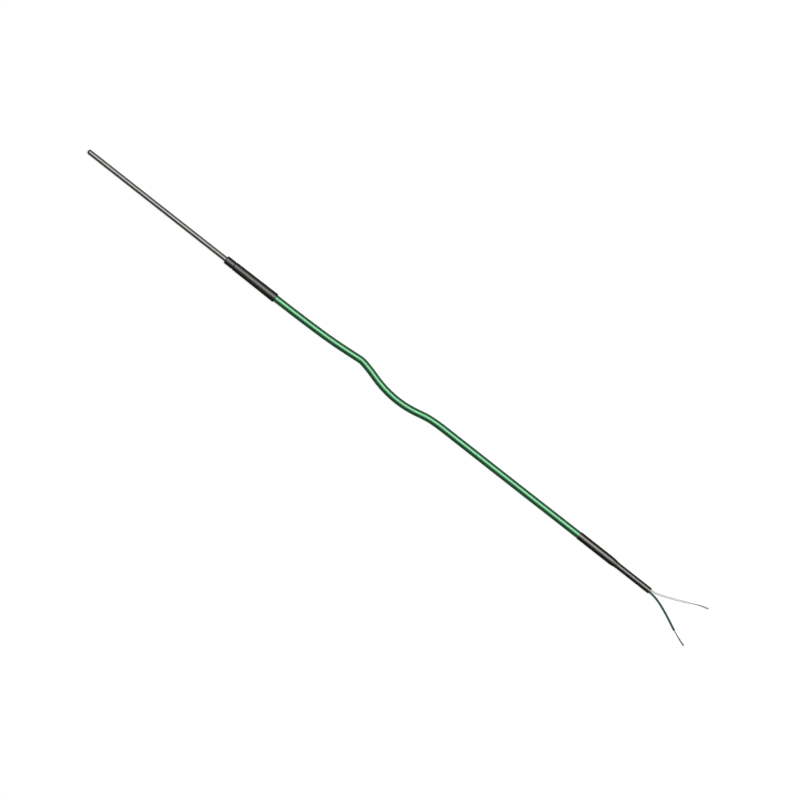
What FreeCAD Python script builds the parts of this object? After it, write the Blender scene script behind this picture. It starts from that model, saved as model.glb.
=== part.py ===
import FreeCAD, Part
import math
import os

from FreeCAD import Vector

# Thermocouple probe: a mineral-insulated sheath, a potted joint under two shrink sleeves, and a twin
# cable with stripped tails. Millimetres. The origin is on the sheath's axis at the front face of the
# sleeves, X runs back along the cable and Z is up. The object lies on its sleeves.

# Sheath with its two wires
sheath_od = 3.0
sheath_wall = 0.4
sheath_reach = 100.0
tip_wall = 1.2
tip_round = 1.3
stub_length = 8.0
swage_depth = 0.2
swage_run_in = 0.8
wire_d = 0.5
wire_pitch = 0.9
bead_d = 1.5
bead_depth = 3.0

# Pot, swaged on the sheath's stub
pot_front = 1.0
pot_length = 24.0
pot_od = 4.1
pot_wall = 0.35
neck_length = 5.0
shoulder_length = 1.5

# Splices in the pot
splice_front = 12.8
splice_length = 4.6
splice_od = 1.05
splay_front = 9.2
splay_length = 2.4
butt_gap = 0.2

# Cable
conductor_d = 0.6
core_od = 1.25
core_gap = 0.02
core_front = 18.6
jacket_od = 4.3
jacket_rear = 278.0
pair_clearance = 0.09
positive_bare = 10.3
negative_bare = 11.4

# Shrink sleeves on the pot
sleeve_length = 36.0
inner_wall_on_pot = 0.36
inner_wall_on_jacket = 0.4
inner_round = 0.6
pinch_width = 0.5
pinch_depth = 0.35
outer_front = 6.2
outer_wall = 0.2
outer_lip = 1.0
outer_round = 0.45

# Shrink sleeve on the tails
tail_sleeve_grip = 22.6
tail_sleeve_wall = 0.2
taper_gap = 0.4
taper_length = 5.6
narrow_length = 22.8
narrow_wall = 0.58
shrink_clearance = 0.02

# Worked out from the above
sheath_r = sheath_od / 2
stub_r = sheath_r - swage_depth
pot_r = pot_od / 2
pot_rear = pot_front + pot_length
neck_rear = pot_front + neck_length
cup_front = neck_rear + shoulder_length
jacket_r = jacket_od / 2
core_pitch = core_od + core_gap
splice_middle = splice_front + splice_length / 2
tail_sleeve_front = jacket_rear - tail_sleeve_grip
taper_front = jacket_rear + taper_gap
taper_rear = taper_front + taper_length
mouth = taper_rear + narrow_length
inner_rear = sleeve_length - outer_lip

# The cable's line from the pot to where the tails part, then each tail to its bare end.
# It drops from the sleeves to the surface that they lie on and rises a little into the tail sleeve.
cable_line = [
    (45.2, 0.0, 0.0),
    (65.5, 0.37, -0.6),
    (76.4, 0.78, -0.6),
    (86.9, 1.62, -0.6),
    (93.4, 2.22, -0.6),
    (96.9, 2.56, -0.6),
    (100.3, 1.84, -0.6),
    (104.6, 0.88, -0.6),
    (111.95, -1.3, -0.6),
    (119.95, -2.7, -0.6),
    (128.45, -3.05, -0.6),
    (136.95, -2.15, -0.6),
    (145.95, -0.25, -0.6),
    (153.95, 0.4, -0.6),
    (246.45, 0.75, -0.38),
]
tail_fork = (309.0, 0.75, -0.38)
positive_tail = [
    (314.45, -0.95, -1.1),
    (322.95, -4.25, -2.12),
    (334.95, -10.0, -2.12),
    (341.45, -11.95, -2.35),
]
negative_tail = [
    (314.05, 3.05, -1.1),
    (322.95, 6.75, -2.12),
    (333.95, 11.5, -2.12),
    (339.45, 13.7, -2.35),
]
arc_share = 0.45
tail_axis_y, tail_axis_z = tail_fork[1:]
jacket_line = [(pot_rear, 0.0, 0.0)] + cable_line + [(jacket_rear, tail_axis_y, tail_axis_z)]


def turned(outline):
    """A solid of revolution on the X axis, from (x, radius) corners."""
    corners = [Vector(x, r, 0) for x, r in outline]
    face = Part.Face(Part.makePolygon(corners + corners[:1]))
    return face.revolve(Vector(0, 0, 0), Vector(1, 0, 0), 360)


def rim_rounded(solid, x, radius, fillet):
    """The solid with its circular edge at x rounded."""
    rims = [
        edge
        for edge in solid.Edges
        if isinstance(edge.Curve, Part.Circle)
        and abs(edge.Curve.Center.x - x) < 1e-6
        and abs(edge.Curve.Radius - radius) < 1e-6
    ]
    return solid.makeFillet(fillet, rims)


def rounded_wire(route):
    """Straight runs with a tangent arc at each corner, and the arcs' radii."""
    points = [Vector(*point) for point in route]
    edges = []
    radii = []
    start = points[0]
    for before, corner, after in zip(points, points[1:], points[2:]):
        back = before - corner
        ahead = after - corner
        half_turn = (math.pi - back.getAngle(ahead)) / 2
        reach = arc_share * min(back.Length, ahead.Length)
        radius = reach / math.tan(half_turn)
        back.normalize()
        ahead.normalize()
        inward = (back + ahead).normalize()
        first = corner + back * reach
        middle = corner + inward * (radius / math.cos(half_turn) - radius)
        last = corner + ahead * reach
        edges.append(Part.LineSegment(start, first).toShape())
        edges.append(Part.Arc(first, middle, last).toShape())
        radii.append(radius)
        start = last
    edges.append(Part.LineSegment(start, points[-1]).toShape())
    return Part.Wire(edges), radii


def rod(route, diameter):
    """A round solid along a route."""
    start = Vector(*route[0])
    heading = Vector(*route[1]) - start
    section = Part.Wire(Part.makeCircle(diameter / 2, start, heading))
    return rounded_wire(route)[0].makePipeShell([section], True, False)


def beside(route, shift):
    """A route moved sideways by a level distance, with its corners mitred."""
    moved = []
    for i, (x, y, z) in enumerate(route):
        normals = []
        for one, other in ((i - 1, i), (i, i + 1)):
            if 0 <= one and other < len(route):
                run_x = route[other][0] - route[one][0]
                run_y = route[other][1] - route[one][1]
                run = math.hypot(run_x, run_y)
                normals.append((-run_y / run, run_x / run))
        (ax, ay), (bx, by) = normals[0], normals[-1]
        mitre = shift / (1 + ax * bx + ay * by)
        moved.append((x + mitre * (ax + bx), y + mitre * (ay + by), z))
    return moved


def core_route(front, side, tail):
    """One core's route, from its front end in the pot to the end of its tail."""
    line = [(front, 0.0, 0.0)] + cable_line + [tail_fork]
    return beside(line, side * core_pitch / 2) + tail


def make_sheath():
    """The drawn tube with its welded, domed tip and its swaged stub."""
    bore_r = sheath_r - sheath_wall
    stub_bore_r = stub_r - sheath_wall
    blank = turned(
        [
            (-sheath_reach, 0),
            (-sheath_reach, sheath_r),
            (0, sheath_r),
            (swage_run_in, stub_r),
            (stub_length, stub_r),
            (stub_length, 0),
        ]
    )
    blank = rim_rounded(blank, -sheath_reach, sheath_r, tip_round)
    bore = turned(
        [
            (tip_wall - sheath_reach, 0),
            (tip_wall - sheath_reach, bore_r),
            (0, bore_r),
            (swage_run_in, stub_bore_r),
            (stub_length, stub_bore_r),
            (stub_length, 0),
        ]
    )
    return blank.cut(bore), bore


def make_hot_junction():
    """The weld bead on the two wires, clear of the sheath."""
    return Part.makeSphere(bead_d / 2, Vector(bead_depth - sheath_reach, 0, 0))


def make_thermoelement(side, bead):
    """A wire from the bead to its splice, spread to the cable cores' pitch past the sheath's end."""
    near = side * wire_pitch / 2
    far = side * core_pitch / 2
    route = [
        (bead_depth - sheath_reach, near, 0),
        (splay_front, near, 0),
        (splay_front + splay_length, far, 0),
        (splice_middle - butt_gap / 2, far, 0),
    ]
    return rod(route, wire_d).cut(bead)


def make_pot():
    """The tube with its neck swaged down on the stub, and its outside and inside as solids."""
    outside = turned(
        [
            (pot_front, 0),
            (pot_front, stub_r + pot_wall),
            (neck_rear, stub_r + pot_wall),
            (cup_front, pot_r),
            (pot_rear, pot_r),
            (pot_rear, 0),
        ]
    )
    inside = turned(
        [
            (pot_front, 0),
            (pot_front, stub_r),
            (neck_rear, stub_r),
            (cup_front, pot_r - pot_wall),
            (pot_rear, pot_r - pot_wall),
            (pot_rear, 0),
        ]
    )
    return outside.cut(inside), outside, inside


def make_splice(side, wire, conductor):
    """A crimped ferrule round a thermoelement's end and a conductor's end."""
    front = Vector(splice_front, side * core_pitch / 2, 0)
    barrel = Part.makeCylinder(splice_od / 2, splice_length, front, Vector(1, 0, 0))
    return barrel.cut(wire).cut(conductor)


def make_conductor(side, tail):
    """The stranded conductor as one rod, from its splice to its bare end."""
    return rod(core_route(splice_middle + butt_gap / 2, side, tail), conductor_d)


def make_core_insulation(side, tail, bare, conductor):
    """A core's insulation, stripped from the bare end of its conductor."""
    route = core_route(core_front, side, tail)
    end, corner, before = (Vector(*point) for point in route[:-4:-1])
    backward = (before - corner).normalize()
    cut_at = corner + backward * (bare - (end - corner).Length)
    stripped = Part.makeCylinder(bare / 2, 2 * bare, cut_at, -backward)
    return rod(route, core_od).cut(conductor).cut(stripped)


def make_jacket():
    """The cable's jacket, a tube on the pair of cores."""
    bore_d = core_pitch + core_od + 2 * pair_clearance
    return rod(jacket_line, jacket_od).cut(rod(jacket_line, bore_d))


def sleeve_r(x):
    """The inner sleeve's outer radius, which grows evenly from the pot to the jacket."""
    front_r = pot_r + inner_wall_on_pot
    rear_r = jacket_r + inner_wall_on_jacket
    return front_r + (rear_r - front_r) * x / inner_rear


def make_inner_sleeve(sheath_blank, pot_outside, jacket_end):
    """The lined shrink sleeve on the sheath, the pot and the jacket, pinched ahead of the outer one."""
    pinch_front = outer_front - pinch_width
    pinch_middle = outer_front - pinch_width / 2
    blank = turned(
        [
            (0, 0),
            (0, sleeve_r(0)),
            (pinch_front, sleeve_r(pinch_front)),
            (pinch_middle, sleeve_r(pinch_middle) - pinch_depth),
            (outer_front, sleeve_r(outer_front)),
            (inner_rear, sleeve_r(inner_rear)),
            (inner_rear, 0),
        ]
    )
    blank = rim_rounded(blank, 0, sleeve_r(0), inner_round)
    return blank.cut(sheath_blank).cut(pot_outside).cut(jacket_end), blank


def make_outer_sleeve(inner_blank, jacket_end):
    """The second layer, from its cut front edge to the lip that grips the jacket."""
    rim_r = sleeve_r(inner_rear) + outer_wall
    blank = turned(
        [
            (outer_front, 0),
            (outer_front, sleeve_r(outer_front) + outer_wall),
            (inner_rear, rim_r),
            (sleeve_length, rim_r),
            (sleeve_length, 0),
        ]
    )
    blank = rim_rounded(blank, sleeve_length, rim_r, outer_round)
    return blank.cut(inner_blank).cut(jacket_end)


def bore_section(x, share, round_r, end_r):
    """A closed section of the tail sleeve's bore: a circle at share 0, joined half circles at share 1."""
    half_pitch = core_pitch / 2
    diagonal = round_r * math.sqrt(0.5)
    corner_y = diagonal + share * (half_pitch - diagonal)
    corner_z = diagonal + share * (end_r - diagonal)
    side_y = round_r + share * (half_pitch + end_r - round_r)
    top_z = round_r + share * (end_r - round_r)

    def at(y, z):
        return Vector(x, tail_axis_y + y, tail_axis_z + z)

    edges = []
    for side in (1, -1):
        low = at(side * corner_y, -side * corner_z)
        high = at(side * corner_y, side * corner_z)
        far = at(-side * corner_y, side * corner_z)
        edges.append(Part.Arc(low, at(side * side_y, 0), high).toShape())
        if share == 1:
            edges.append(Part.LineSegment(high, far).toShape())
        else:
            edges.append(Part.Arc(high, at(0, side * top_z), far).toShape())
    return Part.Wire(edges)


def tail_sleeve_bore(round_r, end_r):
    """The tail sleeve's inside: round on the jacket, then drawn to an oval on the two cores."""
    start = Vector(tail_sleeve_front, tail_axis_y, tail_axis_z)
    barrel = Part.makeCylinder(round_r, taper_front - tail_sleeve_front, start, Vector(1, 0, 0))
    sections = []
    for step in (0, 1 / 3, 2 / 3, 1):
        share = step * step * (3 - 2 * step)
        sections.append(bore_section(taper_front + step * taper_length, share, round_r, end_r))
    taper = Part.makeLoft(sections, True, False)
    oval = Part.Face(sections[-1]).extrude(Vector(narrow_length, 0, 0))
    return barrel.fuse([taper, oval])


def tail_sleeve_outside(round_r, narrow_r):
    """The tail sleeve's outside: round all along, drawn in through two tangent arcs."""
    half_length = taper_length / 2
    half_drop = (round_r - narrow_r) / 2
    bend_r = (half_length * half_length + half_drop * half_drop) / (2 * half_drop)
    half_turn = math.asin(half_length / bend_r) / 2
    ease_x = bend_r * math.sin(half_turn)
    ease_r = bend_r * (1 - math.cos(half_turn))

    def at(x, r):
        return Vector(x, tail_axis_y + r, tail_axis_z)

    shoulder = at(taper_front, round_r)
    middle = at(taper_front + half_length, round_r - half_drop)
    neck = at(taper_rear, narrow_r)
    corners = [neck, at(mouth, narrow_r), at(mouth, 0), at(tail_sleeve_front, 0)]
    corners += [at(tail_sleeve_front, round_r), shoulder]
    edges = [Part.LineSegment(one, two).toShape() for one, two in zip(corners, corners[1:])]
    edges.append(Part.Arc(shoulder, at(taper_front + ease_x, round_r - ease_r), middle).toShape())
    edges.append(Part.Arc(middle, at(taper_rear - ease_x, narrow_r + ease_r), neck).toShape())
    return Part.Face(Part.Wire(edges)).revolve(at(0, 0), Vector(1, 0, 0), 360)


def make_tail_sleeve():
    """The shrink sleeve on the jacket's end, its melted lining filled in round the two cores."""
    bore_r = jacket_r + shrink_clearance
    bore_end_r = core_od / 2 + shrink_clearance
    narrow_r = core_pitch / 2 + bore_end_r + narrow_wall
    outside = tail_sleeve_outside(bore_r + tail_sleeve_wall, narrow_r)
    return outside.cut(tail_sleeve_bore(bore_r, bore_end_r))


def save(node, shape):
    """Write one sub-part, which is a single solid."""
    shape.Solids[0].exportStep("parts/" + node + ".step")


os.makedirs("parts", exist_ok=True)

positive, negative = -1, 1

sheath, sheath_bore = make_sheath()
bead = make_hot_junction()
positive_wire = make_thermoelement(positive, bead)
negative_wire = make_thermoelement(negative, bead)
magnesia = sheath_bore.cut([bead, positive_wire, negative_wire])

positive_conductor = make_conductor(positive, positive_tail)
negative_conductor = make_conductor(negative, negative_tail)
positive_core = make_core_insulation(positive, positive_tail, positive_bare, positive_conductor)
negative_core = make_core_insulation(negative, negative_tail, negative_bare, negative_conductor)
positive_splice = make_splice(positive, positive_wire, positive_conductor)
negative_splice = make_splice(negative, negative_wire, negative_conductor)

pot, pot_outside, pot_inside = make_pot()
resin = pot_inside.cut(
    [
        sheath,
        magnesia,
        positive_wire,
        negative_wire,
        positive_splice,
        negative_splice,
        positive_core,
        negative_core,
        positive_conductor,
        negative_conductor,
    ]
)

jacket_end = Part.makeCylinder(jacket_r, sleeve_length, Vector(pot_rear, 0, 0), Vector(1, 0, 0))
inner_sleeve, inner_blank = make_inner_sleeve(sheath.fuse(sheath_bore), pot_outside, jacket_end)

save("sheath", sheath)
save("magnesia", magnesia)
save("hot_junction", bead)
save("positive_thermoelement", positive_wire)
save("negative_thermoelement", negative_wire)
save("pot", pot)
save("potting_resin", resin)
save("positive_splice", positive_splice)
save("negative_splice", negative_splice)
save("inner_sleeve", inner_sleeve)
save("outer_sleeve", make_outer_sleeve(inner_blank, jacket_end))
save("cable_jacket", make_jacket())
save("positive_core_insulation", positive_core)
save("negative_core_insulation", negative_core)
save("positive_conductor", positive_conductor)
save("negative_conductor", negative_conductor)
save("tail_sleeve", make_tail_sleeve())

for name, route in (
    ("cable", jacket_line),
    ("positive tail", core_route(core_front, positive, positive_tail)),
    ("negative tail", core_route(core_front, negative, negative_tail)),
):
    print(name, "bend radii", [round(radius, 1) for radius in rounded_wire(route)[1]])
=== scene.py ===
import math

import bmesh
import bpy
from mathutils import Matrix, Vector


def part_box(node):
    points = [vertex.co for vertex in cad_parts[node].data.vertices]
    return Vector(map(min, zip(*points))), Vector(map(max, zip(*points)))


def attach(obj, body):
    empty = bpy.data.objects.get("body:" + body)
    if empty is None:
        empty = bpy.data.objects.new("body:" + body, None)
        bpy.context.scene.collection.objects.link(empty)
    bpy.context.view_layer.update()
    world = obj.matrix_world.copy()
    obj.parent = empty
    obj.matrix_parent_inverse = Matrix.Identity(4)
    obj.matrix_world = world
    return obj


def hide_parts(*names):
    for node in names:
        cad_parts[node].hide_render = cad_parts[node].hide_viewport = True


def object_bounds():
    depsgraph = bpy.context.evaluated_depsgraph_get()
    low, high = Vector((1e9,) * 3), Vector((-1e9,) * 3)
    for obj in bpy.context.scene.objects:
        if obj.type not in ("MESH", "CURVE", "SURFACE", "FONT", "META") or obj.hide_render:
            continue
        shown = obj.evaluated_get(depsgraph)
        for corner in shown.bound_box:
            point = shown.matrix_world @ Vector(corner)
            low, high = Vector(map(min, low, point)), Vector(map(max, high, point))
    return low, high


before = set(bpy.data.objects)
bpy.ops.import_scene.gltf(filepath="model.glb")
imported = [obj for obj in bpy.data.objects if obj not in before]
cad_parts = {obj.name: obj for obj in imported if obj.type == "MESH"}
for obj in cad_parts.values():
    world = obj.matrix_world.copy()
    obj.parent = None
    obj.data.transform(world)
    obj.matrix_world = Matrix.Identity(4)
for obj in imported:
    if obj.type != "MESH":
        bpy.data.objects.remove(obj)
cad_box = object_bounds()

scene = bpy.context.scene

# Hot junction and thermoelements: two bright drawn alloy wires, welded into one dull bead.
# They lie sealed in the magnesia, so the CAD nodes are shown as they are.
# The wires' drawing lines run along X; the bead is scaled by the weld's heat.


class Wire:
    """One output socket of a node tree. Arithmetic on it adds Math nodes."""

    def __init__(self, tree, socket=None):
        self.tree = tree
        self.socket = socket

    def node(self, kind, settings=None, inputs=None, output=0):
        """Adds a node: its settings first, then the values or wires of its inputs."""
        added = self.tree.nodes.new(kind)
        for name, value in (settings or {}).items():
            setattr(added, name, value)
        for name, value in (inputs or {}).items():
            if isinstance(value, Wire):
                self.tree.links.new(value.socket, added.inputs[name])
            else:
                added.inputs[name].default_value = value
        return Wire(self.tree, added.outputs[output])

    def maths(self, operation, *values):
        """A Math node on numbers or wires."""
        return self.node("ShaderNodeMath", {"operation": operation}, dict(enumerate(values)))

    def vector(self, operation, *values):
        """A Vector Math node on vectors or wires."""
        settings = {"operation": operation}
        return self.node("ShaderNodeVectorMath", settings, dict(enumerate(values)))

    def scaled(self, amount):
        """This vector made longer or shorter by an amount, which is the node's fourth input."""
        return self.node("ShaderNodeVectorMath", {"operation": "SCALE"}, {0: self, 3: amount})

    def __add__(self, other):
        return self.maths("ADD", self, other)

    def __radd__(self, other):
        return self.maths("ADD", other, self)

    def __sub__(self, other):
        return self.maths("SUBTRACT", self, other)

    def __rsub__(self, other):
        return self.maths("SUBTRACT", other, self)

    def __mul__(self, other):
        return self.maths("MULTIPLY", self, other)

    def __truediv__(self, other):
        return self.maths("DIVIDE", self, other)

    def blend(self, first, second):
        """Two colours mixed by this value, each of them a wire or red, green and blue."""
        first, second = (
            colour if isinstance(colour, Wire) else (*colour, 1.0) for colour in (first, second)
        )
        colour_sockets = {0: self, 6: first, 7: second}
        return self.node("ShaderNodeMix", {"data_type": "RGBA"}, colour_sockets, 2)

    def step(self, low, high):
        """This value eased from 0 at low to 1 at high."""
        settings = {"interpolation_type": "SMOOTHSTEP"}
        return self.node("ShaderNodeMapRange", settings, {0: self, 1: low, 2: high})

    def into(self, shader, name):
        """Links this value to a named input of a shader or an output node."""
        self.tree.links.new(self.socket, shader.inputs[name])


def new_finish(name, constants):
    """A material, its shader with the constant sockets set, and its object coordinates."""
    finish = bpy.data.materials.new(name)
    finish.use_nodes = True
    shader = finish.node_tree.nodes["Principled BSDF"]
    for socket, value in constants.items():
        shader.inputs[socket].default_value = value
    place = Wire(finish.node_tree).node("ShaderNodeTexCoord", output="Object")
    return finish, shader, place


def grain(place, cycles, detail=2.0):
    """Noise from 0 to 1, with its own number of cycles a metre along each axis."""
    stretched = place.vector("MULTIPLY", place, cycles)
    return place.node(
        "ShaderNodeTexNoise", None, {"Vector": stretched, "Scale": 1.0, "Detail": detail}
    )


def relief(height, distance):
    """A bump from a height of 0 to 1, in metres from low to high."""
    return height.node(
        "ShaderNodeBump", None, {"Strength": 1.0, "Distance": distance, "Height": height}
    )


def drawn_metal(name, dark, light, rough, spread, line_depth):
    """Metal with fine drawing lines along X."""
    finish, shader, place = new_finish(name, {"Metallic": 1.0})
    lines = grain(place, cycles=(60.0, 9000.0, 9000.0))
    cloud = grain(place, cycles=(90.0, 300.0, 300.0))
    cloud.blend(dark, light).into(shader, "Base Color")
    (rough + (lines - 0.5) * spread).into(shader, "Roughness")
    relief(lines, line_depth).into(shader, "Normal")
    return finish


def mottled(name, constants, dark, light, rough, spread, cycles, detail, depth=0.0):
    """A finish whose colour and roughness follow one noise, and its height if a depth is given."""
    finish, shader, place = new_finish(name, constants)
    speck = grain(place, (cycles, cycles, cycles), detail)
    speck.blend(dark, light).into(shader, "Base Color")
    (rough + speck * spread).into(shader, "Roughness")
    if depth:
        relief(speck, depth).into(shader, "Normal")
    return finish


def dress(node, finish):
    """Gives a CAD node that is shown as it is a better material."""
    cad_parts[node].material_slots[0].material = finish


dress("positive_thermoelement", drawn_metal(
    "positive_element_wire",
    dark=(0.40, 0.38, 0.35),
    light=(0.50, 0.48, 0.44),
    rough=0.32,
    spread=0.2,
    line_depth=4e-6,
))
dress("negative_thermoelement", drawn_metal(
    "negative_element_wire",
    dark=(0.46, 0.44, 0.41),
    light=(0.56, 0.54, 0.50),
    rough=0.30,
    spread=0.2,
    line_depth=4e-6,
))
dress("hot_junction", mottled(
    "weld_bead",
    {"Metallic": 1.0},
    dark=(0.16, 0.14, 0.13),
    light=(0.42, 0.40, 0.37),
    rough=0.4,
    spread=0.4,
    cycles=2500.0,
    detail=4.0,
    depth=4e-5,
))

# Magnesia: white oxide powder, packed hard round the wires when the sheath is drawn down.
# It is sealed in the sheath, so the CAD node is shown as it is, with a powdery surface.

dress("magnesia", mottled(
    "packed_oxide",
    {"Specular IOR Level": 0.2},
    dark=(0.66, 0.65, 0.61),
    light=(0.84, 0.83, 0.80),
    rough=0.8,
    spread=0.2,
    cycles=6000.0,
    detail=5.0,
    depth=3e-5,
))

# Sheath: a thin stainless tube, drawn down over the imported oxide and annealed dull.
# Its tip is closed with a weld and ground to a dome, whose rim is painted dark as shade, with a
# trace of heat tint behind.
# Its rear stub stands in the pot's swaged neck.

sheath_low, sheath_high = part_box("sheath")
sheath_radius = sheath_high[1]
sheath_wall = 0.0004
sheath_bore = sheath_radius - sheath_wall
tip = sheath_low[0]
tip_wall = 0.0012
dome_radius = 0.0013
dome_steps = 10
ring_shares = (0.66, 0.33)
swage_run = 0.0008
swage_depth = 0.0002
swaged = sheath_radius - swage_depth
turned_sides = 96
crease_angle = 35.0
steel_dark = (0.46, 0.447, 0.424)
steel_light = (0.78, 0.76, 0.72)
steel_cloud_share = 0.4
steel_rough = 0.41
steel_rough_spread = 0.16
steel_line_depth = 2e-6
heat_run = 0.006
heat_tint = (0.58, 0.54, 0.46)
heat_share = 0.4
heat_rough = 0.04
# Where the painted shade on the dome at the tip starts and ends, and its colour and strength.
dome_shade_from = 0.0006
dome_shade_to = 0.0013
dome_shade_colour = (0.06, 0.056, 0.05)
dome_shade_share = 0.9


def shown(name, shell, finish, crease):
    """An object from a bmesh, its faces outward and smooth up to the crease angle."""
    bmesh.ops.recalc_face_normals(shell, faces=shell.faces)
    for face in shell.faces:
        face.smooth = True
    mesh = bpy.data.meshes.new(name)
    shell.to_mesh(mesh)
    shell.free()
    mesh.set_sharp_from_angle(angle=math.radians(crease))
    mesh.materials.append(finish)
    piece = bpy.data.objects.new(name, mesh)
    scene.collection.objects.link(piece)
    return piece


def turned(name, outline, finish):
    """A mesh turned about X from (x, radius) corners. A nil radius makes a pole."""
    shell = bmesh.new()
    rings = []
    for x, radius in outline:
        count = turned_sides if radius > 0 else 1
        turns = [2 * math.pi * i / count for i in range(count)]
        rings.append([
            shell.verts.new((x, radius * math.cos(turn), radius * math.sin(turn)))
            for turn in turns
        ])
    pairs = list(zip(rings, rings[1:]))
    if outline[0][1] > 0:
        pairs.append((rings[-1], rings[0]))
    for one, two in pairs:
        for i in range(turned_sides):
            after = i + 1
            corners = [
                one[i % len(one)], one[after % len(one)], two[after % len(two)], two[i % len(two)]
            ]
            shell.faces.new(list(dict.fromkeys(corners)))
    return shown(name, shell, finish, crease_angle)


def arc(x, radius, bend, start, end, steps):
    """Corners of an arc in the outline's plane, at angles in degrees from +X."""
    turns = [math.radians(start + (end - start) * i / steps) for i in range(steps + 1)]
    return [(x + bend * math.cos(turn), radius + bend * math.sin(turn)) for turn in turns]


steel_finish, steel_shader, steel_place = new_finish("drawn_sheath_steel", {"Metallic": 1.0})
steel_lines = grain(steel_place, cycles=(30.0, 4500.0, 4500.0), detail=3.0)
steel_cloud = grain(steel_place, cycles=(70.0, 250.0, 250.0))
steel_axis = steel_place.node("ShaderNodeSeparateXYZ", None, {0: steel_place}, "X")
heat = 1.0 - steel_axis.step(tip, tip + heat_run)
# Painted shade: the dome's colour is darkened from the tip to about a dome's length back.
painted_dome_shade = 1.0 - steel_axis.step(tip + dome_shade_from, tip + dome_shade_to)
steel_shade = steel_cloud * steel_cloud_share + steel_lines * (1 - steel_cloud_share)
tinted_steel = (heat * heat_share).blend(steel_shade.blend(steel_dark, steel_light), heat_tint)
(painted_dome_shade * dome_shade_share).blend(tinted_steel, dome_shade_colour).into(steel_shader, "Base Color")
steel_roughness = steel_rough + (steel_lines - 0.5) * steel_rough_spread + heat * heat_rough
steel_roughness.into(steel_shader, "Roughness")
relief(steel_lines, steel_line_depth).into(steel_shader, "Normal")

sheath_outline = [(tip, 0.0)]
sheath_outline += reversed(arc(
    tip + dome_radius, sheath_radius - dome_radius, dome_radius, 90, 180, dome_steps
))
sheath_outline += [(tip * share, sheath_radius) for share in ring_shares]
sheath_outline += [
    (0.0, sheath_radius),
    (swage_run, swaged),
    (sheath_high[0], swaged),
    (sheath_high[0], swaged - sheath_wall),
    (swage_run, swaged - sheath_wall),
    (0.0, sheath_bore),
    (tip + tip_wall, sheath_bore),
    (tip + tip_wall, 0.0),
]
sheath = turned("sheath_tube", sheath_outline, steel_finish)
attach(sheath, "root")
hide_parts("sheath")

# Splices, pot and resin: plated ferrules crimped over each joint of element and cable wire.
# A stainless pot is swaged on the sheath, and dark cast resin fills it round the joints.
# The sleeves hide all of them, so the CAD nodes are shown as they are.

splice_finish = drawn_metal(
    "plated_ferrule",
    dark=(0.52, 0.50, 0.46),
    light=(0.64, 0.62, 0.58),
    rough=0.28,
    spread=0.15,
    line_depth=3e-6,
)
dress("positive_splice", splice_finish)
dress("negative_splice", splice_finish)
dress("pot", drawn_metal(
    "swaged_pot_steel",
    dark=(0.46, 0.45, 0.43),
    light=(0.56, 0.55, 0.53),
    rough=0.35,
    spread=0.2,
    line_depth=4e-6,
))
dress("potting_resin", mottled(
    "cast_resin",
    {"Coat Weight": 0.3},
    dark=(0.010, 0.008, 0.007),
    light=(0.024, 0.019, 0.016),
    rough=0.18,
    spread=0.2,
    cycles=400.0,
    detail=3.0,
))

# Cores: two soft insulated wires side by side, green positive and white negative.
# Each holds seven thin strands, six of them laid in a spiral round one.
# They leave the tail sleeve's mouth side by side, spread, and are stripped at their ends.

core_pitch = 0.00127
core_diameter = 0.00125
core_wall = 0.000325
core_step = 0.001
core_tube_sides = 32
core_front = 0.0186
conductor_front = 0.0152
bare_lengths = {"positive": 0.0103, "negative": 0.0114}
strand_count = 7
strand_radius = 0.0001
strand_lay = 0.0075
strand_step = 0.0006
strand_sides = 8
strand_splay = 1.1
least_fray = 0.3
most_fray = 1.0
fray_seed = 5
route_resolution = 24
cable_line = [
    (0.04520, 0.0, 0.0),
    (0.06550, 0.00037, -0.0006),
    (0.07640, 0.00078, -0.0006),
    (0.08690, 0.00162, -0.0006),
    (0.09340, 0.00222, -0.0006),
    (0.09690, 0.00256, -0.0006),
    (0.10030, 0.00184, -0.0006),
    (0.10460, 0.00088, -0.0006),
    (0.11195, -0.0013, -0.0006),
    (0.11995, -0.0027, -0.0006),
    (0.12845, -0.00305, -0.0006),
    (0.13695, -0.00212, -0.0006),
    (0.14595, 0.00005, -0.0006),
    (0.15395, 0.00062, -0.0006),
    (0.16195, 0.00060, -0.000581),
    (0.21490, 0.000631, -0.000455),
    (0.24645, 0.00075, -0.00038),
]
tail_fork = [(0.3032, 0.00075, -0.00038), (0.3090, 0.00075, -0.00038)]
tails = {
    "positive": [
        (0.31445, -0.00095, -0.0011),
        (0.32295, -0.00425, -0.00212),
        (0.33495, -0.0100, -0.0021),
        (0.34145, -0.01195, -0.0022),
    ],
    "negative": [
        (0.31405, 0.00295, -0.0011),
        (0.31850, 0.00466, -0.00161),
        (0.32350, 0.00679, -0.0021),
        (0.32850, 0.00916, -0.0021),
        (0.33250, 0.01099, -0.0021),
        (0.33520, 0.01221, -0.00213),
        (0.33740, 0.01272, -0.00217),
        (0.33950, 0.01343, -0.0022),
    ],
}


def beside(route, shift):
    """The route moved level to one side, its corners mitred."""
    moved = []
    for i, (x, y, z) in enumerate(route):
        normals = []
        for one, two in (route[max(i - 1, 0):][:2], route[:i + 2][-2:]):
            run_x, run_y = two[0] - one[0], two[1] - one[1]
            run = math.hypot(run_x, run_y)
            normals.append((-run_y / run, run_x / run))
        (ax, ay), (bx, by) = normals
        mitre = shift / (1 + ax * bx + ay * by)
        moved.append((x + mitre * (ax + bx), y + mitre * (ay + by), z))
    return moved


def route_curve(name, points):
    """A route as an open curve with its points as control points."""
    curve = bpy.data.curves.new(name, "CURVE")
    curve.dimensions = "3D"
    curve.resolution_u = route_resolution
    spline = curve.splines.new("NURBS")
    spline.points.add(len(points) - 1)
    for control, point in zip(spline.points, points):
        control.co = (*point, 1.0)
    spline.order_u = 3
    spline.use_endpoint_u = True
    route = bpy.data.objects.new(name, curve)
    scene.collection.objects.link(route)
    return route


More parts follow.
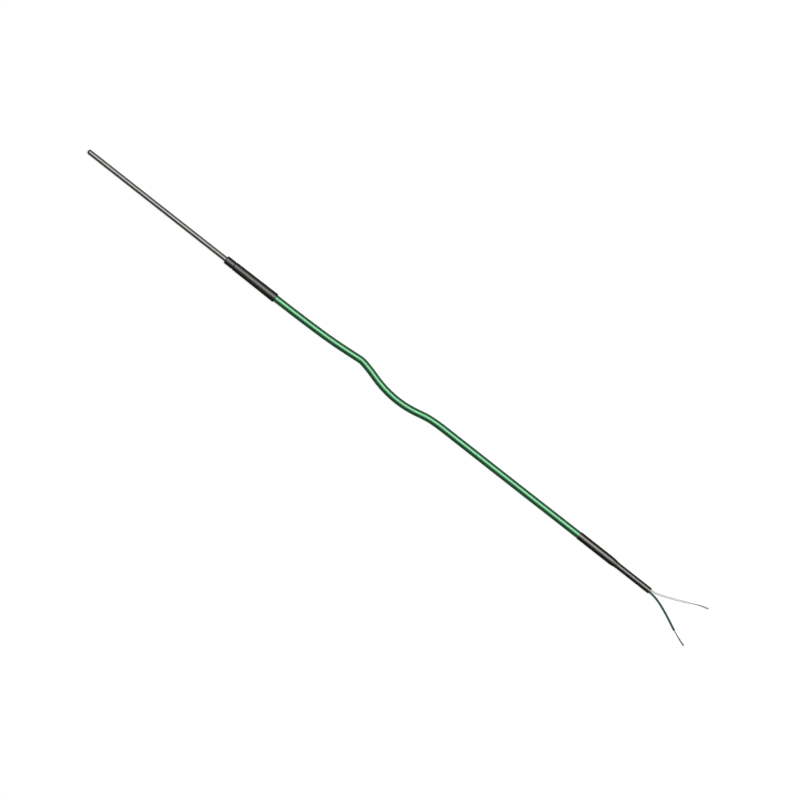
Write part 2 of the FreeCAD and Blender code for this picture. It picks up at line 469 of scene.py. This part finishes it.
def measured(route):
    """The curve's own points, each with its distance along the curve."""
    held = route.evaluated_get(bpy.context.evaluated_depsgraph_get())
    wire_mesh = bpy.data.meshes.new_from_object(held)
    places = [tuple(corner.co) for corner in wire_mesh.vertices]
    bpy.data.meshes.remove(wire_mesh)
    along = [0.0]
    for one, two in zip(places, places[1:]):
        along.append(along[-1] + math.dist(one, two))
    return list(zip(along, places))


def new_tree(name, inputs):
    """A geometry tree with named inputs, and the wires of its group input."""
    tree = bpy.data.node_groups.new(name, "GeometryNodeTree")
    tree.interface.new_socket("Geometry", in_out="OUTPUT", socket_type="NodeSocketGeometry")
    for label, kind in inputs.items():
        tree.interface.new_socket(label, in_out="INPUT", socket_type=kind)
    entry = tree.nodes.new("NodeGroupInput")
    return tree, {label: Wire(tree, entry.outputs[label]) for label in inputs}


def close_tree(tree, shape, finish):
    """Ends a geometry tree: instances made real, material set, group output."""
    real = shape.node("GeometryNodeRealizeInstances", None, {"Geometry": shape})
    coated = shape.node("GeometryNodeSetMaterial", None, {"Geometry": real, "Material": finish})
    leave = tree.nodes.new("NodeGroupOutput")
    coated.into(leave, "Geometry")


def grown(name, route, tree, values, wall=0.0):
    """A mesh piece grown on a route by a geometry tree, hollowed to a wall if one is given."""
    grower = route.modifiers.new(name, "NODES")
    grower.node_group = tree
    for socket in tree.interface.items_tree:
        if socket.name in values:
            grower[socket.identifier] = values[socket.name]
    held = route.evaluated_get(bpy.context.evaluated_depsgraph_get())
    mesh = bpy.data.meshes.new_from_object(held)
    mesh.name = name
    route.modifiers.remove(grower)
    piece = bpy.data.objects.new(name, mesh)
    scene.collection.objects.link(piece)
    if wall:
        hollow = piece.modifiers.new("wall", "SOLIDIFY")
        hollow.thickness = wall
        hollow.offset = -1.0
        hollow.use_even_offset = True
        held = piece.evaluated_get(bpy.context.evaluated_depsgraph_get())
        piece.data = bpy.data.meshes.new_from_object(held)
        piece.modifiers.clear()
        piece.data.name = name
        bpy.data.meshes.remove(mesh)
        piece.data.set_sharp_from_angle(angle=math.radians(crease_angle))
    return piece


# The tree of a tube: the route is cut to length, and a ring is swept along it.
# The attributes along and around lay the plastic's die lines on the tube.
tube_tree, tube = new_tree("cord_tube", {
    "Geometry": "NodeSocketGeometry",
    "Radius": "NodeSocketFloat",
    "Start": "NodeSocketFloat",
    "End": "NodeSocketFloat",
    "Step": "NodeSocketFloat",
    "Sides": "NodeSocketInt",
    "Material": "NodeSocketMaterial",
})
tube_run = tube["Geometry"].node(
    "GeometryNodeTrimCurve",
    {"mode": "LENGTH"},
    {0: tube["Geometry"], 4: tube["Start"], 5: tube["End"]},
)
tube_run = tube_run.node(
    "GeometryNodeResampleCurve", {"mode": "LENGTH"}, {"Curve": tube_run, "Length": tube["Step"]}
)
tube_run = tube_run.node("GeometryNodeSetCurveNormal", {"mode": "Z_UP"}, {0: tube_run})
tube_along = tube_run.node("GeometryNodeSplineParameter", output="Length")
tube_run = tube_run.node(
    "GeometryNodeStoreNamedAttribute",
    {"data_type": "FLOAT", "domain": "POINT"},
    {"Geometry": tube_run, "Name": "along", "Value": tube_along},
)
tube_ring = tube_run.node(
    "GeometryNodeCurvePrimitiveCircle",
    None,
    {"Resolution": tube["Sides"], "Radius": tube["Radius"]},
)
tube_place = tube_run.node("GeometryNodeInputPosition")
tube_ring = tube_run.node(
    "GeometryNodeStoreNamedAttribute",
    {"data_type": "FLOAT_VECTOR", "domain": "POINT"},
    {
        "Geometry": tube_ring,
        "Name": "around",
        "Value": tube_place.vector("NORMALIZE", tube_place),
    },
)
tube_shell = tube_run.node(
    "GeometryNodeCurveToMesh", None, {"Curve": tube_run, "Profile Curve": tube_ring}
)
close_tree(tube_tree, tube_shell, tube["Material"])

# The tree of the strands: copies of the route, all but the first moved out and turned by the lay.
# Where the wire is bare they come loose, each by its own share of the splay.
strand_tree, strand = new_tree("laid_strands", {
    "Geometry": "NodeSocketGeometry",
    "Strand Radius": "NodeSocketFloat",
    "Lay": "NodeSocketFloat",
    "Bare From": "NodeSocketFloat",
    "Bare To": "NodeSocketFloat",
    "Splay": "NodeSocketFloat",
    "Material": "NodeSocketMaterial",
})
strand_line = strand["Geometry"].node(
    "GeometryNodeResampleCurve",
    {"mode": "LENGTH"},
    {"Curve": strand["Geometry"], "Length": strand_step},
)
strand_line = strand_line.node("GeometryNodeSetCurveNormal", {"mode": "Z_UP"}, {0: strand_line})
copies = strand_line.node(
    "GeometryNodeDuplicateElements",
    {"domain": "SPLINE"},
    {"Geometry": strand_line, "Amount": strand_count},
)
copy_number = Wire(strand_tree, copies.socket.node.outputs["Duplicate Index"])
numbered = strand_line.node(
    "GeometryNodeStoreNamedAttribute",
    {"data_type": "INT", "domain": "CURVE"},
    {"Geometry": copies, "Name": "strand", "Value": copy_number},
)
number = strand_line.node(
    "GeometryNodeInputNamedAttribute", {"data_type": "INT"}, {"Name": "strand"}
)
laid_at = strand_line.node("GeometryNodeSplineParameter", output="Length")
outer = number.maths("GREATER_THAN", number, 0.5)
place_turn = 2 * math.pi / (strand_count - 1)
lay_turn = laid_at / strand["Lay"] * (2 * math.pi) + number * place_turn
fray = strand_line.node(
    "FunctionNodeRandomValue",
    {"data_type": "FLOAT"},
    {2: least_fray, 3: most_fray, "ID": number, "Seed": fray_seed},
    1,
)
loose = laid_at.node(
    "ShaderNodeMapRange",
    {"interpolation_type": "SMOOTHERSTEP"},
    {0: laid_at, 1: strand["Bare From"], 2: strand["Bare To"]},
)
reach = outer * strand["Strand Radius"] * (2.0 + loose * fray * strand["Splay"] * 2.0)
up = strand_line.node("GeometryNodeInputNormal")
ahead = strand_line.node("GeometryNodeInputTangent")
aside = ahead.vector("CROSS_PRODUCT", ahead, up)
part_up = up.scaled(reach * lay_turn.maths("COSINE", lay_turn))
part_aside = aside.scaled(reach * lay_turn.maths("SINE", lay_turn))
strands_laid = numbered.node(
    "GeometryNodeSetPosition",
    None,
    {"Geometry": numbered, "Offset": up.vector("ADD", part_up, part_aside)},
)
strand_ring = numbered.node(
    "GeometryNodeCurvePrimitiveCircle",
    None,
    {"Resolution": strand_sides, "Radius": strand["Strand Radius"]},
)
strand_shells = numbered.node(
    "GeometryNodeCurveToMesh",
    None,
    {"Curve": strands_laid, "Profile Curve": strand_ring, "Fill Caps": True},
)
close_tree(strand_tree, strand_shells, strand["Material"])


def soft_plastic(name, constants, dark, light, rough, spread, line_depth):
    """Extruded plastic: faint lengthwise die lines, slight clouding of colour and gloss."""
    finish, shader, place = new_finish(name, constants)
    along = place.node("ShaderNodeAttribute", {"attribute_name": "along"}, output="Fac")
    around = place.node("ShaderNodeAttribute", {"attribute_name": "around"}, output="Vector")
    lengthwise = place.node("ShaderNodeCombineXYZ", None, {"Z": along})
    lay = around.vector("ADD", around, lengthwise)
    lines = grain(lay, cycles=(7.0, 7.0, 12.0), detail=3.0)
    cloud = grain(place, cycles=(120.0, 120.0, 120.0), detail=3.0)
    cloud.blend(dark, light).into(shader, "Base Color")
    (rough + (cloud - 0.5) * spread + (lines - 0.5) * spread).into(shader, "Roughness")
    relief(lines, line_depth).into(shader, "Normal")
    return finish


core_finishes = {
    "positive": soft_plastic(
        "green_core_plastic",
        {"Specular IOR Level": 0.12, "Specular Tint": (0.6, 1.0, 0.75, 1.0)},
        dark=(0.022, 0.130, 0.062),
        light=(0.030, 0.155, 0.078),
        rough=0.42,
        spread=0.12,
        line_depth=1e-6,
    ),
    "negative": soft_plastic(
        "white_core_plastic",
        {"Specular IOR Level": 0.04},
        dark=(0.74, 0.74, 0.72),
        light=(0.79, 0.79, 0.77),
        rough=0.5,
        spread=0.12,
        line_depth=1e-6,
    ),
}
strand_finishes = {
    "positive": drawn_metal(
        "positive_strand_wire",
        dark=(0.42, 0.41, 0.395),
        light=(0.54, 0.53, 0.51),
        rough=0.50,
        spread=0.2,
        line_depth=2e-6,
    ),
    "negative": drawn_metal(
        "negative_strand_wire",
        dark=(0.80, 0.79, 0.77),
        light=(0.92, 0.90, 0.87),
        rough=0.55,
        spread=0.2,
        line_depth=2e-6,
    ),
}
core_sides = {"positive": -1, "negative": 1}
core_middle = [(conductor_front, 0.0, 0.0)] + cable_line + tail_fork
core_tubes = {}
strand_sets = {}
for pole, side in core_sides.items():
    core_run = beside(core_middle, side * core_pitch / 2) + tails[pole]
    core_route = route_curve(pole + "_route", core_run)
    walk = measured(core_route)
    conductor_end = walk[-1][0]
    strip_from = core_front - conductor_front
    strip_to = conductor_end - bare_lengths[pole]
    insulation = grown(pole + "_core_tube", core_route, tube_tree, {
        "Radius": core_diameter / 2,
        "Start": strip_from,
        "End": strip_to,
        "Step": core_step,
        "Sides": core_tube_sides,
        "Material": core_finishes[pole],
    }, core_wall)
    strands = grown(pole + "_strands", core_route, strand_tree, {
        "Strand Radius": strand_radius,
        "Lay": strand_lay,
        "Bare From": strip_to,
        "Bare To": conductor_end,
        "Splay": strand_splay,
        "Material": strand_finishes[pole],
    })
    bpy.data.objects.remove(core_route)
    core_tubes[pole] = insulation
    strand_sets[pole] = strands
    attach(insulation, "root")
    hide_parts(pole + "_core_insulation")
    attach(strands, "root")
    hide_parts(pole + "_conductor")
    strip_to - strip_from

# Cable jacket: a round tube of soft green plastic, extruded over the pair of cores.
# It is gripped in the joint's sleeves, lies in one loose S-bend and ends under the tail sleeve.

jacket_low, jacket_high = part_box("cable_jacket")
jacket_diameter = 0.0043
jacket_wall = 0.00079
jacket_step = 0.0012
jacket_sides = 64
jacket_end_at = (0.00075, -0.00038)
jacket_route = route_curve(
    "jacket_route",
    [(jacket_low[0], 0.0, 0.0)] + cable_line + [(jacket_high[0], *jacket_end_at)],
)
jacket_walk = measured(jacket_route)
jacket_length = jacket_walk[-1][0]
jacket_finish = soft_plastic(
    "green_jacket_plastic",
    {"Specular IOR Level": 0.6, "Specular Tint": (0.40, 1.0, 0.57, 1.0)},
    dark=(0.010, 0.140, 0.034),
    light=(0.013, 0.165, 0.042),
    rough=0.45,
    spread=0.06,
    line_depth=1.5e-6,
)
jacket = grown("green_jacket", jacket_route, tube_tree, {
    "Radius": jacket_diameter / 2,
    "Start": 0.0,
    "End": jacket_length,
    "Step": jacket_step,
    "Sides": jacket_sides,
    "Material": jacket_finish,
}, jacket_wall)
bpy.data.objects.remove(jacket_route)
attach(jacket, "root")
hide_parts("cable_jacket")

# Joint sleeves: two layers of satin black shrink tube over the pot and the cable's first end.
# The inner one is longer at the sheath; the outer one starts at a thin lip six millimetres back.
# Both are shrunk on hot, so their edges are rounded and their walls swell a little to the rear.

inner_low, inner_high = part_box("inner_sleeve")
outer_low, outer_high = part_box("outer_sleeve")
jacket_radius = jacket_diameter / 2
sleeve_front_radius = 0.00241
sleeve_rear_radius = inner_high[1]
inner_round = 0.0006
inner_straight_from = 0.0015
neck_front = 0.001
neck_rear = 0.006
neck_bore = 0.00165
pot_front = 0.0075
pot_rear = 0.025
pot_bore = 0.00205
pinch_width = 0.0005
pinch_depth = 0.00035
pinch_bed = 0.00008
outer_rim = outer_high[1]
outer_wall = 0.0002
outer_lip = 0.00008
outer_lip_run = 0.0006
outer_round = 0.00045
round_steps = 8
inner_front_rings = 4
inner_rear_rings = 12
outer_rings = 24


def shrink_plastic(
    name, constants, dark, light, rough, spread, peel_spread, cloud_cycles, peel_cycles,
    peel_detail, peel_depth,
):
    """Shrunk sleeve plastic: slight clouding of colour and gloss, and a fine orange peel."""
    finish, shader, place = new_finish(name, constants)
    peel = grain(place, peel_cycles, peel_detail)
    cloud = grain(place, cloud_cycles)
    cloud.blend(dark, light).into(shader, "Base Color")
    (rough + (cloud - 0.5) * spread + (peel - 0.5) * peel_spread).into(shader, "Roughness")
    relief(peel, peel_depth).into(shader, "Normal")
    return finish


def sleeve_radius(x):
    """The inner sleeve's outer radius, which grows evenly to its rear end."""
    share = (x - inner_low[0]) / (inner_high[0] - inner_low[0])
    return sleeve_front_radius + share * (sleeve_rear_radius - sleeve_front_radius)


def stations(start, end, count):
    """Evenly spaced values from start to end, one more than the count of gaps."""
    return [start + (end - start) * i / count for i in range(count + 1)]


sleeve_finish = shrink_plastic(
    "satin_shrink_sleeve",
    {"Specular IOR Level": 0.21, "Specular Tint": (1.0, 0.97, 0.91, 1.0)},
    dark=(0.009, 0.0087, 0.0082),
    light=(0.014, 0.0135, 0.0128),
    rough=0.48,
    spread=0.1,
    peel_spread=0.1,
    cloud_cycles=(160.0, 260.0, 260.0),
    peel_cycles=(1400.0, 2200.0, 2200.0),
    peel_detail=4.0,
    peel_depth=2e-6,
)

pinch_front = outer_low[0] - pinch_width
pinch_middle = outer_low[0] - pinch_width / 2
pinch_floor = sleeve_radius(pinch_middle) - pinch_depth
inner_outline = arc(
    inner_low[0] + inner_round, sleeve_front_radius - inner_round, inner_round, 180, 90, round_steps
)
for x in stations(inner_straight_from, pinch_front, inner_front_rings):
    inner_outline.append((x, sleeve_radius(x)))
inner_outline += [
    (pinch_middle - pinch_bed, pinch_floor),
    (pinch_middle + pinch_bed, pinch_floor),
]
for x in stations(outer_low[0], inner_high[0], inner_rear_rings):
    inner_outline.append((x, sleeve_radius(x)))
inner_outline += [
    (inner_high[0], jacket_radius),
    (pot_rear, jacket_radius),
    (pot_rear, pot_bore),
    (pot_front, pot_bore),
    (neck_rear, neck_bore),
    (neck_front, neck_bore),
    (neck_front, swaged),
    (swage_run, swaged),
    (inner_low[0], sheath_radius),
]
inner_sleeve = turned("inner_shrink", inner_outline, sleeve_finish)
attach(inner_sleeve, "root")
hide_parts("inner_sleeve")

outer_outline = arc(
    outer_low[0] + outer_lip, sleeve_radius(outer_low[0]), outer_lip, 180, 90, round_steps
)
for x in stations(outer_low[0] + outer_lip_run, inner_high[0], outer_rings):
    share = (x - outer_low[0]) / (inner_high[0] - outer_low[0])
    outer_outline.append((x, sleeve_radius(x) + outer_lip + share * (outer_wall - outer_lip)))
outer_outline += arc(
    outer_high[0] - outer_round, outer_rim - outer_round, outer_round, 90, 0, round_steps
)
outer_outline += [
    (outer_high[0], jacket_radius),
    (inner_high[0], jacket_radius),
    (inner_high[0], sleeve_rear_radius),
]
outer_sleeve = turned("outer_shrink", outer_outline, sleeve_finish)
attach(outer_sleeve, "root")
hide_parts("outer_sleeve")

# Tail sleeve: a glossier black shrink tube over the end of the jacket, lined with melting glue.
# Past the jacket it draws in round the two cores, and the glue fills it out to a round end.
# The cores leave its square-cut mouth side by side.

tail_low, tail_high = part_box("tail_sleeve")
tail_outer = (tail_high[1] - tail_low[1]) / 2
tail_wall = 0.0002
tail_bore = tail_outer - tail_wall
narrow_outer = 0.00186
core_clearance = 0.00002
oval_bore = core_diameter / 2 + core_clearance
oval_half = core_pitch / 2
taper_gap = 0.0004
taper_run = 0.0056
taper_from = jacket_high[0] + taper_gap
taper_to = taper_from + taper_run
tail_sides = 96
tail_crease = 40.0
round_rings = 12
taper_rings = 16
narrow_rings = 10


def eased(part):
    """A share from 0 to 1 that starts and ends gently."""
    return part * part * (3 - 2 * part)


def tail_ring(shell, x, share, radius):
    """A ring of the sleeve: a circle at share 0, the oval round both cores at share 1."""
    corners = []
    for i in range(tail_sides):
        turn = 360.0 * i / tail_sides
        quarter, within = divmod(turn + 45.0, 90.0)
        bend = math.radians(2 * within - 90.0)
        flat = oval_half * (1 - within / 45.0)
        level, height = [
            (oval_half + oval_bore * math.cos(bend), oval_bore * math.sin(bend)),
            (flat, oval_bore),
            (-oval_half - oval_bore * math.cos(bend), -oval_bore * math.sin(bend)),
            (-flat, -oval_bore),
        ][int(quarter) % 4]
        level += (1 - share) * (radius * math.cos(math.radians(turn)) - level)
        height += (1 - share) * (radius * math.sin(math.radians(turn)) - height)
        corners.append(shell.verts.new((x, jacket_end_at[0] + level, jacket_end_at[1] + height)))
    return corners


tail_shell = bmesh.new()
tail_stops = [(x, 0.0) for x in stations(tail_low[0], taper_from, round_rings)]
for part in stations(0.0, 1.0, taper_rings)[1:]:
    tail_stops.append((taper_from + part * (taper_to - taper_from), eased(part)))
tail_stops += [(x, 1.0) for x in stations(taper_to, tail_high[0], narrow_rings)[1:]]
tail_rings = []
for x, share in tail_stops:
    radius = tail_outer + share * (narrow_outer - tail_outer)
    tail_rings.append(tail_ring(tail_shell, x, 0.0, radius))
for x, share in reversed(tail_stops):
    tail_rings.append(tail_ring(tail_shell, x, share, tail_bore))
for one, two in zip(tail_rings, tail_rings[1:] + tail_rings[:1]):
    for i in range(tail_sides):
        after = (i + 1) % tail_sides
        tail_shell.faces.new((one[i], one[after], two[after], two[i]))
tail_finish = shrink_plastic(
    "glossy_shrink_sleeve",
    {"Specular IOR Level": 0.30, "Specular Tint": (1.0, 0.96, 0.90, 1.0)},
    dark=(0.005, 0.0047, 0.0043),
    light=(0.008, 0.0075, 0.007),
    rough=0.42,
    spread=0.1,
    peel_spread=0.0,
    cloud_cycles=(200.0, 260.0, 260.0),
    peel_cycles=(900.0, 1500.0, 1500.0),
    peel_detail=3.0,
    peel_depth=1.5e-6,
)
tail_sleeve = shown("tail_shrink", tail_shell, tail_finish, tail_crease)
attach(tail_sleeve, "root")
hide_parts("tail_sleeve")

# Floor: a plain white studio floor under the probe, bright of itself, with a faint contact shadow.
# Gloss does not see it, because the world's glow from below stands for it there.

floor_half = 3.0
floor_height = cad_box[0][2]
floor_corners = ((-1, -1), (1, -1), (1, 1), (-1, 1))
floor_mesh = bpy.data.meshes.new("studio_floor")
floor_mesh.from_pydata(
    [(x * floor_half, y * floor_half, floor_height) for x, y in floor_corners],
    [],
    [(0, 1, 2, 3)],
)
floor_finish = new_finish(
    "floor_white",
    {
        "Base Color": (0.35, 0.35, 0.35, 1.0),
        "Roughness": 1.0,
        "Specular IOR Level": 0.0,
        "Emission Color": (1.0, 1.0, 1.0, 1.0),
        "Emission Strength": 0.78,
    },
)[0]
floor_finish.cycles.emission_sampling = "NONE"
floor_mesh.materials.append(floor_finish)
floor = bpy.data.objects.new("studio_floor", floor_mesh)
scene.collection.objects.link(floor)
floor.visible_glossy = False

# Light: a dim studio round the probe, and soft panels above it, a little to the far side.
# Plain light and gloss have panels of their own, and so have plastic, sheath and bare wires.
# Two more pairs towards the probe's ends give the slanting views their gloss.

sky_dark = (0.022, 0.022, 0.022)
sky_bright = (0.17, 0.17, 0.17)
sky_below = (0.6, 0.6, 0.6)
sky_near_share = 0.25
world = bpy.data.worlds.new("studio")
world.use_nodes = True
sky = world.node_tree.nodes["Background"]
sky_way = Wire(world.node_tree).node("ShaderNodeTexCoord", output="Generated")
sky_rise = sky_way.node("ShaderNodeSeparateXYZ", None, {0: sky_way}, "Z")
sky_far = sky_way.node("ShaderNodeSeparateXYZ", None, {0: sky_way}, "Y").step(-0.7, 0.5)
sky_low = 1.0 - sky_rise.maths("ABSOLUTE", sky_rise)
sky_glow = sky_low * sky_low * (sky_near_share + sky_far * (1 - sky_near_share))
sky_colour = sky_glow.blend(sky_dark, sky_bright)
sky_rise.step(-0.75, -0.95).blend(sky_colour, sky_below).into(sky, "Color")
world.cycles.sampling_method = "NONE"
scene.world = world


def gathered(name, pieces):
    """A collection of the pieces that a panel lights."""
    group = bpy.data.collections.new(name)
    for piece in pieces:
        group.objects.link(piece)
    return group


metal = gathered("metal_pieces", [sheath])
wires = gathered("wire_pieces", strand_sets.values())
plastic = gathered(
    "plastic_pieces", [jacket, inner_sleeve, outer_sleeve, tail_sleeve, *core_tubes.values()]
)
ground = gathered("ground", [floor])
white = gathered("white_pieces", [core_tubes["negative"]])
panel_middle = (0.12, 0.0)
panel_height = 4.0


def panel(name, receivers, gloss, radiance, x_reach, y_reach):
    """A light panel over the object, its edges given as slopes from overhead along X and Y."""
    lamp = bpy.data.lights.new(name, "AREA")
    lamp.shape = "RECTANGLE"
    lamp.size = panel_height * (x_reach[1] - x_reach[0])
    lamp.size_y = panel_height * (y_reach[1] - y_reach[0])
    lamp.energy = radiance * math.pi * lamp.size * lamp.size_y
    light = bpy.data.objects.new(name, lamp)
    light.location = (
        panel_middle[0] + panel_height * sum(x_reach) / 2,
        panel_middle[1] + panel_height * sum(y_reach) / 2,
        panel_height,
    )
    light.visible_camera = False
    light.visible_diffuse = not gloss
    light.visible_glossy = gloss
    light.light_linking.receiver_collection = receivers
    scene.collection.objects.link(light)


for name, receivers, gloss, radiance, x_reach, y_reach in (
    ("overhead_soft", plastic, False, 1.6, (-0.3, 0.9), (0.0, 0.6)),
    ("floor_light", ground, False, 10.0, (-0.2, 0.6), (0.0, 0.32)),
    ("white_fill", white, False, 0.9, (-1.6, 1.6), (-1.6, 1.6)),
    ("plastic_gloss", plastic, True, 58.0, (-0.28, 0.3), (0.08, 0.57)),
    ("metal_gloss", metal, True, 1.38, (-0.4, 0.5), (-0.19, 0.6)),
    ("plastic_gloss_tip_end", plastic, True, 30.0, (-1.3, -0.55), (-0.1, 0.6)),
    ("metal_gloss_tip_end", metal, True, 2.0, (-1.3, -0.55), (-0.19, 0.6)),
    ("plastic_gloss_tail_end", plastic, True, 30.0, (0.75, 1.4), (-0.1, 0.6)),
    ("metal_gloss_tail_end", metal, True, 2.0, (0.75, 1.4), (-0.19, 0.6)),
    ("wire_gloss", wires, True, 1.5, (-0.6, 0.6), (-0.4, 0.8)),
):
    panel(name, receivers, gloss, radiance, x_reach, y_reach)

# Camera: a long lens straight above the probe, so that it is seen without perspective.
# It is turned so that the probe crosses the picture's diagonal.

lens_data = bpy.data.cameras.new("photo_camera")
lens_data.lens = 200.0
lens_data.sensor_width = 36.0
camera = bpy.data.objects.new("photo_camera", lens_data)
camera.location = (0.12752, -0.00173, 2.533)
camera.rotation_euler = (0.0, 0.0, math.radians(38.18))
scene.collection.objects.link(camera)
scene.camera = camera
scene.view_settings.view_transform = "Standard"
